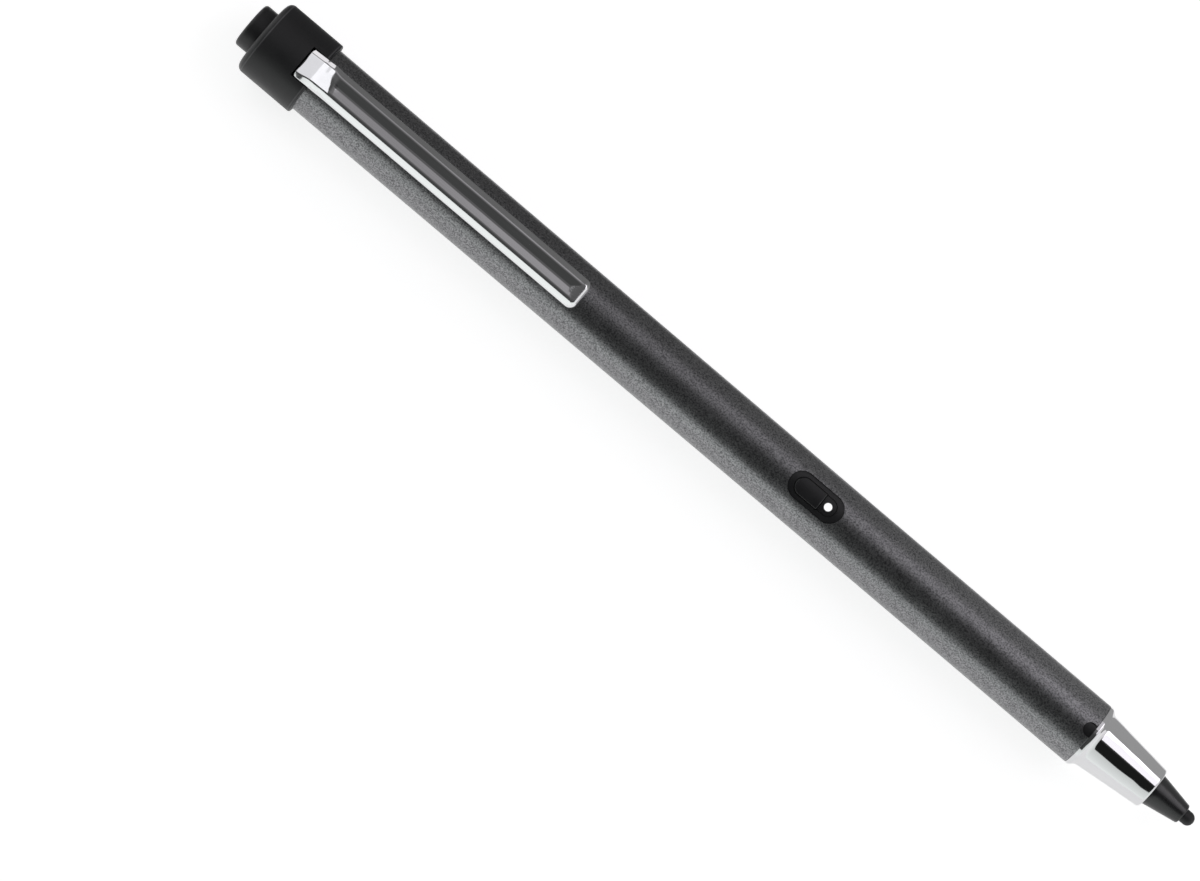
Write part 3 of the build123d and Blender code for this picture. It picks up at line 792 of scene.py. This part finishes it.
def clip_heights(row):
    """Pairs of an inset and a height for one station, from the middle underneath round to the top."""
    kind, value, way = row
    s, y = drawn_in(row, 0)
    x, top, _, _ = line_at(s, y)
    round_end = {"edge": 0.0, "corner": value / (math.pi / 2), "end": 1.0}[kind]
    shape = edge_shape(smooth_share(x, edge_changes[way]), smooth_share(x, dish_change), round_end)
    inside = shape[-1][1] - clip_sheet
    clear = axis_height + math.sqrt((barrel_r_at(x) + clip_gap) ** 2 - y**2)
    depth = clip_depth + round_end * (clip_end_rise - clip_depth)
    lowest = min(inside, shape[0][1] - clip_wall, max(-depth, clear - top))
    above = lowest + clip_rim
    under = [(clip_half_width, inside), (clip_sheet, inside), (clip_sheet, above)]
    return [*under, (clip_sheet - clip_rim, lowest), (clip_rim, lowest), (0, above), *shape]


print(f"a ring of the clip has {len(clip_heights(outline[0]))} points")

# %% [markdown]
# Each station gives a ring of points, and rings that follow each other are joined by faces. The two halves
# meet in the middle, where their points are merged, and the open end inside the cap is filled, so the strip
# is closed like the sheet that it stands for.

# %% Clip
clip_merge = 0.000004


def clip_point(row, inset, height):
    """Place in the frame of a point of the strip."""
    s, y = drawn_in(row, inset)
    x, z, slope_x, slope_z = line_at(s, y)
    return x - slope_z * height, y, z + slope_x * height


def build_clip():
    shell = bmesh.new()
    rings = []
    for row in outline:
        rings.append([shell.verts.new(clip_point(row, *pair)) for pair in clip_heights(row)])
    for ring, following in zip(rings, rings[1:]):
        for place in range(len(ring) - 1):
            after = place + 1
            shell.faces.new((ring[place], following[place], following[after], ring[after]))
    bmesh.ops.remove_doubles(shell, verts=shell.verts, dist=clip_merge)
    bmesh.ops.holes_fill(shell, edges=[edge for edge in shell.edges if edge.is_boundary])
    bmesh.ops.recalc_face_normals(shell, faces=shell.faces)
    return smooth_piece(mesh_of(shell, "pocket_clip"), pressed_plate)


clip_piece = build_clip()
stand_for(clip_piece, "clip")
print(f"clip has {len(clip_piece.data.polygons)} faces")

# %% [markdown]
# Geometry Nodes trees are built in the script, with the same helper that adds nodes to the finishes. A few
# more keep that short: they start a tree with named inputs, make a vector or a block, set copies on a line
# and end a tree. The last one runs a tree and keeps its result as a plain mesh, so that nothing depends on
# the modifier afterwards.


# %% Steps that the geometry trees share
def start_tree(name, sizes, **others):
    """New tree with inputs for named sizes, for others of a kind and for a finish."""
    tree = bpy.data.node_groups.new(name, "GeometryNodeTree")
    inputs = {**dict.fromkeys(sizes, "Float"), **others, "Finish": "Material"}
    for label, kind in inputs.items():
        tree.interface.new_socket(name=label, in_out="INPUT", socket_type="NodeSocket" + kind)
    tree.interface.new_socket(name="Geometry", in_out="OUTPUT", socket_type="NodeSocketGeometry")
    return tree, tree.nodes.new("NodeGroupInput").outputs


def vector(tree, **parts):
    """Vector from outputs for its X, Y and Z."""
    return add_node(tree, "ShaderNodeCombineXYZ", parts)[0]


def block(tree, **sides):
    """Block about the origin, from outputs for its sides."""
    return add_node(tree, "GeometryNodeMeshCube", {"Size": vector(tree, **sides)})["Mesh"]


def on_line(tree, piece, count, start, step):
    """Copies of a piece on the points of a line."""
    line = {"Count": count, "Start Location": start, "Offset": step}
    points = add_node(tree, "GeometryNodeMeshLine", line)["Mesh"]
    return add_node(tree, "GeometryNodeInstanceOnPoints", {"Points": points, "Instance": piece})[0]


def end_tree(tree, geometry, finish):
    """Realizes the instances, sets the material and closes the tree."""
    real = add_node(tree, "GeometryNodeRealizeInstances", {"Geometry": geometry})[0]
    painted = add_node(tree, "GeometryNodeSetMaterial", {"Geometry": real, "Material": finish})[0]
    tree.links.new(painted, tree.nodes.new("NodeGroupOutput").inputs[0])
    print(f"tree of {tree.name}: {len(tree.nodes)} nodes")
    return tree


def run_tree(name, tree, values):
    """Runs a tree with values for its named inputs and keeps the result as a plain mesh."""
    piece = add_object(name, bpy.data.meshes.new(name))
    modifier = piece.modifiers.new("tree", "NODES")
    modifier.node_group = tree
    for item in tree.interface.items_tree:
        if item.in_out == "INPUT":
            modifier[item.identifier] = values[item.name]
    depsgraph = bpy.context.evaluated_depsgraph_get()
    mesh = bpy.data.meshes.new_from_object(piece.evaluated_get(depsgraph))
    piece.modifiers.remove(modifier)
    piece.data = mesh
    print(f"{name}: {len(mesh.polygons)} faces")
    return piece


# %% [markdown]
# A compression spring is a wire that winds round an axis: slowly at both ends, where the last turn lies
# against the next one and gives a flat seat, and with an open pitch between. A sweep with a constant pitch
# would stand on a point, so the tree moves the points of a line by a rule: an angle that grows evenly and a
# travel in three straight stretches.

# %% Spring tree
points_per_turn = 32
wire_sides = 14
closed_wires = 3.0


def spring_tree():
    sizes = ("Start", "Length", "Coil Radius", "Wire Radius", "Turns", "Axis Height")
    tree, given = start_tree("coil_spring", sizes)
    count = maths(tree, "MULTIPLY", given["Turns"], points_per_turn)
    line = add_node(tree, "GeometryNodeCurvePrimitiveLine", {"End": (1, 0, 0)})[0]
    line = add_node(tree, "GeometryNodeResampleCurve", {"Curve": line, "Count": count})[0]
    along_line = add_node(tree, "GeometryNodeSplineParameter", {})["Factor"]
    angle = maths(tree, "MULTIPLY", maths(tree, "MULTIPLY", along_line, given["Turns"]), math.tau)

    end_share = maths(tree, "DIVIDE", 1.0, given["Turns"])
    far_share = maths(tree, "SUBTRACT", 1.0, end_share)
    wire = maths(tree, "MULTIPLY", given["Wire Radius"], 2.0)
    open_run = maths(tree, "SUBTRACT", given["Length"], maths(tree, "MULTIPLY", wire, closed_wires))
    x = maths(tree, "ADD", given["Start"], given["Wire Radius"])
    stretches = ((0.0, end_share, wire), (end_share, far_share, open_run), (far_share, 1.0, wire))
    for first, last, run in stretches:
        x = maths(tree, "ADD", x, spread(tree, along_line, 0.0, run, first, last))

    y = maths(tree, "MULTIPLY", given["Coil Radius"], maths(tree, "COSINE", angle))
    z = maths(tree, "MULTIPLY", given["Coil Radius"], maths(tree, "SINE", angle))
    z = maths(tree, "ADD", z, given["Axis Height"])
    winding = {"Geometry": line, "Position": vector(tree, X=x, Y=y, Z=z)}
    wound = add_node(tree, "GeometryNodeSetPosition", winding)[0]
    ring = {"Resolution": wire_sides, "Radius": given["Wire Radius"]}
    section = add_node(tree, "GeometryNodeCurvePrimitiveCircle", ring)[0]
    tube = {"Curve": wound, "Profile Curve": section, "Fill Caps": True}
    return end_tree(tree, add_node(tree, "GeometryNodeCurveToMesh", tube)[0], given["Finish"])


coil_spring = spring_tree()

# %% [markdown]
# The nib, the tail button and the cell each have a spring. One tree winds all three from the boxes of their
# solids and the size of their wire, so each fills the room that its solid had.

# %% Springs
wires_and_turns = {
    "nib_spring": (0.00025, 5.0),
    "tail_button_spring": (0.0003, 4.5),
    "battery_spring": (0.0005, 6.5),
}
springs = {}
for node_name, (wire_size, turns) in wires_and_turns.items():
    low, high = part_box(node_name)
    spring_sizes = {
        "Start": low.x,
        "Length": high.x - low.x,
        "Coil Radius": (high.y - low.y) / 2 - wire_size / 2,
        "Wire Radius": wire_size / 2,
        "Turns": turns,
        "Axis Height": axis_height,
        "Finish": spring_wire,
    }
    spring = run_tree("wound_" + node_name, coil_spring, spring_sizes)
    spring.data.polygons.foreach_set("use_smooth", [True] * len(spring.data.polygons))
    stand_for(spring, node_name)
    springs[node_name] = spring


# %% [markdown]
# Two of the springs are pressed by a joint. Each is given a mesh of its own.


# %% Springs that the joints press, each with a mesh of its own
def press_spring(node_name):
    """Gives a spring a mesh of its own."""
    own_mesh(springs[node_name])


press_spring("nib_spring")
press_spring("tail_button_spring")

# %% [markdown]
# The board is held by two small screws with a cross recess. One screw is made from its sizes and set on the
# points of a line, which would serve for any number of screws. The recess is a boolean cut, because a
# picture of a cross would not show from the side.

# %% Screw tree
screw_count = 2
screw_sides = 40
slot_share = 1.3
slot_depth_shares = (1.0, 0.94)
buried_share = 0.25


def rod(tree, radius, depth):
    """Upright cylinder about the origin."""
    sizes = {"Vertices": screw_sides, "Radius": radius, "Depth": depth}
    return add_node(tree, "GeometryNodeMeshCylinder", sizes)["Mesh"]


def lifted(tree, mesh, height):
    """Mesh that is moved up by a height."""
    move = {"Geometry": mesh, "Translation": vector(tree, Z=height)}
    return add_node(tree, "GeometryNodeTransform", move)[0]


def boolean(tree, operation, sockets):
    """Cut or union of closed meshes."""
    settings = {"operation": operation, "solver": "MANIFOLD"}
    return add_node(tree, "GeometryNodeMeshBoolean", sockets, **settings)["Mesh"]


def screw_tree():
    sizes = ("Head Radius", "Head Height", "Shank Radius", "Shank Length", "Recess")
    tree, given = start_tree("cross_screws", sizes, First="Vector", Step="Vector")
    head = rod(tree, given["Head Radius"], given["Head Height"])
    head = lifted(tree, head, maths(tree, "MULTIPLY", given["Head Height"], 0.5))
    slot_length = maths(tree, "MULTIPLY", given["Head Radius"], slot_share)
    for long_side, short_side, share in zip("XY", "YX", slot_depth_shares):
        slot_depth = maths(tree, "MULTIPLY", given["Head Height"], share)
        cutter = block(tree, **{long_side: slot_length, short_side: given["Recess"], "Z": slot_depth})
        cutter = lifted(tree, cutter, given["Head Height"])
        head = boolean(tree, "DIFFERENCE", {"Mesh 1": head, "Mesh 2": cutter})
    buried = maths(tree, "MULTIPLY", given["Head Height"], buried_share)
    shank = rod(tree, given["Shank Radius"], maths(tree, "ADD", given["Shank Length"], buried))
    sink = maths(tree, "MULTIPLY", maths(tree, "SUBTRACT", buried, given["Shank Length"]), 0.5)
    screw = boolean(tree, "UNION", {"Mesh 2": head})
    tree.links.new(lifted(tree, shank, sink), screw.node.inputs["Mesh 2"])
    screws = on_line(tree, screw, screw_count, given["First"], given["Step"])
    return end_tree(tree, screws, given["Finish"])


cross_screws = screw_tree()

# %% [markdown]
# The screws take their sizes from the boxes of their solids and of the board, so that their heads lie on it.
# Only the widths of the shank and of the recess are given here, because no box tells them.

# %% Screws
shank_r = 0.0006
recess_width = 0.00032
screw_low, screw_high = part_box("board_screws")
board_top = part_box("main_board")[1].z
head_r = screw_high.y
screw_sizes = {
    "First": (screw_low.x + head_r, 0, board_top),
    "Step": (screw_high.x - screw_low.x - 2 * head_r, 0, 0),
    "Head Radius": head_r,
    "Head Height": screw_high.z - board_top,
    "Shank Radius": shank_r,
    "Shank Length": board_top - screw_low.z,
    "Recess": recess_width,
    "Finish": screw_plate,
}
stand_for(run_tree("cross_screws", cross_screws, screw_sizes), "board_screws")

# %% [markdown]
# The controller is a flat black package with a row of plated leads on each side. The leads repeat, so they
# are one small block on the points of a line, and the line is turned once for each side.

# %% Chip leads
package_share = 0.8
lead_width_share = 0.5
lead_height_share = 0.25
lead_level_share = 0.375
lead_count = 8


def lead_tree():
    tree, given = start_tree("chip_leads", ("Side", "Height"), Centre="Vector", Leads="Int")
    side = maths(tree, "MULTIPLY", given["Side"], package_share)
    pitch = maths(tree, "DIVIDE", side, given["Leads"])
    length = maths(tree, "MULTIPLY", given["Side"], (1 - package_share) / 2)
    width = maths(tree, "MULTIPLY", pitch, lead_width_share)
    height = maths(tree, "MULTIPLY", given["Height"], lead_height_share)
    lead = block(tree, X=width, Y=length, Z=height)
    x = maths(tree, "MULTIPLY", maths(tree, "SUBTRACT", side, pitch), -0.5)
    y = maths(tree, "ADD", maths(tree, "MULTIPLY", side, 0.5), maths(tree, "MULTIPLY", length, 0.5))
    z = maths(tree, "MULTIPLY", given["Height"], lead_level_share)
    row = on_line(tree, lead, given["Leads"], vector(tree, X=x, Y=y, Z=z), vector(tree, X=pitch))
    join = tree.nodes.new("GeometryNodeJoinGeometry")
    for quarter in range(4):
        turned = {"Geometry": row, "Rotation": (0, 0, quarter * math.pi / 2)}
        tree.links.new(add_node(tree, "GeometryNodeTransform", turned)[0], join.inputs[0])
    moved = {"Geometry": join.outputs[0], "Translation": given["Centre"]}
    return end_tree(tree, add_node(tree, "GeometryNodeTransform", moved)[0], given["Finish"])


chip_leads = lead_tree()

# %% [markdown]
# The package hangs under the board. It is a block that is drawn in away from the board, as moulded packages
# are so that they leave their mould, and its edges are softened so that they catch the light.

# %% Chip
chip_low, chip_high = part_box("controller_chip")
chip_centre = (chip_low + chip_high) / 2
chip_size = chip_high - chip_low
package_draft = 0.92
package_round = 0.00006


def chip_package():
    """Block with softened edges that is drawn in at its lower face."""
    shell = bmesh.new()
    bmesh.ops.create_cube(shell, size=1.0)
    for vert in shell.verts:
        share = package_share * (package_draft if vert.co.z < 0 else 1)
        offset = (vert.co.x * share * chip_size.x, vert.co.y * share * chip_size.y, vert.co.z * chip_size.z)
        vert.co = chip_centre + Vector(offset)
    edges = list(shell.edges)
    bmesh.ops.bevel(shell, geom=edges, offset=package_round, segments=2, profile=0.5, affect="EDGES")
    bmesh.ops.recalc_face_normals(shell, faces=shell.faces)
    return smooth_piece(mesh_of(shell, "chip_package"), package_black)


chip_inputs = {
    "Centre": tuple(chip_centre),
    "Side": chip_size.x,
    "Height": chip_size.z,
    "Leads": lead_count,
    "Finish": screw_plate,
}
stand_for(run_tree("chip_leads", chip_leads, chip_inputs), "controller_chip")
stand_for(chip_package(), "controller_chip")

# %% [markdown]
# The pen lies on a plain white floor. The floor is a wide disc, so that no edge of it shows from the side.
# A floor that is lit enough to be white would need more light than the pen should get, so its own white is
# seen by the camera and, a little greyer, by mirrors. The rest of it is matt and takes the shadow.

# %% Floor
floor_radius = 12.0
floor_segments = 96
floor_glow = 0.76
floor_mirrored = 0.60
floor_grey = (0.60, 0.60, 0.60, 1)


def start_stage(shell, name):
    """Object of the stage, with the tree of its material, still empty."""
    mesh = mesh_of(shell, name)
    material = bpy.data.materials.new(name)
    material.use_nodes = True
    material.node_tree.nodes.clear()
    mesh.materials.append(material)
    return add_object(name, mesh), material.node_tree


def show_surface(tree, shading):
    """Links what a material shows to its output."""
    add_node(tree, "ShaderNodeOutputMaterial", {"Surface": shading})


floor_shell = bmesh.new()
bmesh.ops.create_circle(floor_shell, cap_ends=True, segments=floor_segments, radius=floor_radius)
floor, floor_tree = start_stage(floor_shell, "floor")
seen = add_node(floor_tree, "ShaderNodeLightPath", {})
seen_straight = maths(floor_tree, "MAXIMUM", seen["Is Camera Ray"], seen["Is Transmission Ray"])
straight_glow = maths(floor_tree, "MULTIPLY", seen_straight, floor_glow)
mirrored_glow = maths(floor_tree, "MULTIPLY", seen["Is Glossy Ray"], floor_mirrored)
seen_glow = maths(floor_tree, "MAXIMUM", straight_glow, mirrored_glow)
white = add_node(floor_tree, "ShaderNodeEmission", {"Strength": seen_glow})[0]
matt = add_node(floor_tree, "ShaderNodeBsdfDiffuse", {"Color": floor_grey})[0]
show_surface(floor_tree, add_node(floor_tree, "ShaderNodeAddShader", {0: white, 1: matt})[0])
print(f"floor is {2 * floor_radius:.0f} m across")

# %% [markdown]
# Bright plate only looks right if there is something to mirror. The photograph tells what was there: a dark
# ceiling above the camera with a clear edge that comes closer beyond the nose, white walls all round that
# are brightest at the horizon, a narrow white lamp above the far side and something grey on the far side
# below it. The world gives the ceiling and the walls.

# %% World
wall_levels = (1.0, 0.72)
wall_tints = ((0.965, 1.0, 0.985), (1.0, 0.98, 1.0))
tint_reach = (-0.3, 0.3)
ceiling_edges = (0.47, 0.745)
ceiling_soft = 0.02
nose_reach = (0.235, 0.275)
ceiling_levels = (0.055, 0.012)
ceiling_glow = 0.10
glow_reach = (0.04, 0.26)
world = bpy.data.worlds.new("studio")
scene.world = world
world.use_nodes = True
sky = world.node_tree

way = split(sky, add_node(sky, "ShaderNodeTexCoord", {})["Generated"])
ceiling_along = spread(sky, way["X"], *ceiling_levels, *nose_reach)
ceiling_across = spread(sky, way["Y"], 0.0, ceiling_glow, *glow_reach)
ceiling = maths(sky, "ADD", ceiling_along, ceiling_across)
ceiling_edge = spread(sky, way["X"], *ceiling_edges, *nose_reach)
past_edge = maths(sky, "SUBTRACT", way["Z"], ceiling_edge)
walls = spread(sky, way["Z"], *wall_levels, 0.0, ceiling_edges[1])
room = spread(sky, past_edge, walls, ceiling, -ceiling_soft, ceiling_soft, ease="SMOOTHSTEP")
tint = between(sky, spread(sky, way["Y"], 0.0, 1.0, *tint_reach), *wall_tints)
set_sockets(sky, sky.nodes["Background"], {"Color": tint, "Strength": room})
edge_angles = [math.degrees(math.asin(edge)) for edge in ceiling_edges]
print("the ceiling starts at", [round(angle) for angle in edge_angles], "degrees above the floor")

# %% [markdown]
# The lamps are soft boxes. Four stand in a row along the far side, from the nose to the tail, because the
# highlight on the barrel is strong at the nose and weak at the tail. Two stand behind the tail, one above
# the other, and light the two slopes of the clip's ramp. Each lamp is given by the angles from overhead
# between which a mirror shows it, read off the photograph, and by the level that the mirror shows.

# %% Lamps
lamp_distance = 0.5
far_tint = (0.975, 0.945, 1.0)
far_lamps = {
    "far_lamp_nose": (0.175, 0.40, 10, 61, 1.16),
    "far_lamp_front": (0.03, 0.175, 21, 58, 0.48),
    "far_lamp_middle": (-0.05, 0.03, 21, 59, 0.16),
    "far_lamp_tail": (-0.19, -0.05, 21, 59, 0.10),
}
tail_distance = 0.6
tail_lamp_y = 0.07
tail_lamp_width = 0.34
tail_tint = (0.97, 0.97, 1.0)
tail_lamps = {"tail_lamp_high": (15, 41, 1.03), "tail_lamp_low": (41, 50, 0.72)}


def soft_box(name, place, faces_x, length, width, level, colour):
    """Area lamp that faces a point of the pen, with its length along the pen, at the level a mirror shows."""
    towards = (Vector(place) - Vector((faces_x, 0, axis_height))).normalized()
    lamp = bpy.data.lights.new(name, "AREA")
    lamp.shape = "RECTANGLE"
    lamp.size = length
    lamp.size_y = width
    lamp.energy = math.pi * level * length * width
    lamp.color = colour
    box = add_object(name, lamp)
    side_way = towards.cross(pen_axis).normalized()
    turned = Matrix((side_way.cross(towards), side_way, towards)).transposed().to_4x4()
    box.matrix_world = Matrix.Translation(place) @ turned
    box.visible_camera = False


def seen_between(near_deg, far_deg, distance):
    """Size of a lamp that is seen between two angles, and how far off and up its middle is."""
    tilt = math.radians((near_deg + far_deg) / 2)
    size = 2 * distance * math.tan(math.radians((far_deg - near_deg) / 2))
    return size, distance * math.sin(tilt), axis_height + distance * math.cos(tilt)


for lamp_name, (start_x, end_x, near_deg, far_deg, lamp_level) in far_lamps.items():
    lamp_x = (start_x + end_x) / 2
    width, off, lamp_z = seen_between(near_deg, far_deg, lamp_distance)
    soft_box(lamp_name, (lamp_x, off, lamp_z), lamp_x, end_x - start_x, width, lamp_level, far_tint)

for lamp_name, (near_deg, far_deg, lamp_level) in tail_lamps.items():
    length, off, lamp_z = seen_between(near_deg, far_deg, tail_distance)
    place = (skirt_x - off, tail_lamp_y, lamp_z)
    soft_box(lamp_name, place, skirt_x, length, tail_lamp_width, lamp_level, tail_tint)
print(f"{len(far_lamps)} lamps on the far side and {len(tail_lamps)} behind the tail")

# %% [markdown]
# The grey card stands on the far side of the pen, just out of the picture, as a photographer would set it to
# shade one side of a shiny thing. Only mirrors see it. It is a curved sheet that starts on the floor.

# %% Grey card
card_levels = (0.13, 0.36)
card_change = (-0.03, 0.068)
card_ends = (-0.10, 0.16)
card_near = 0.009
card_far = 0.075
card_lift = 0.0002
card_height = 0.058
card_steps = 16
card_shell = bmesh.new()
card_rows = []
for step in range(card_steps + 1):
    turn = math.pi / 2 * step / card_steps
    y = card_near + (card_far - card_near) * math.sin(turn)
    z = card_lift + card_height * (1 - math.cos(turn))
    card_rows.append([card_shell.verts.new((x, y, z)) for x in card_ends])
for row, following in zip(card_rows, card_rows[1:]):
    card_shell.faces.new((*row, *following[::-1]))
card, card_tree = start_stage(card_shell, "grey_card")
card_place = add_node(card_tree, "ShaderNodeTexCoord", {})["Object"]
card_level = spread(card_tree, split(card_tree, card_place)["X"], *card_levels, *card_change)
show_surface(card_tree, add_node(card_tree, "ShaderNodeEmission", {"Strength": card_level})[0])
for kind in ("camera", "diffuse", "shadow", "transmission"):
    setattr(card, "visible_" + kind, False)
print(f"card stands {card_height * 1000:.0f} mm high")
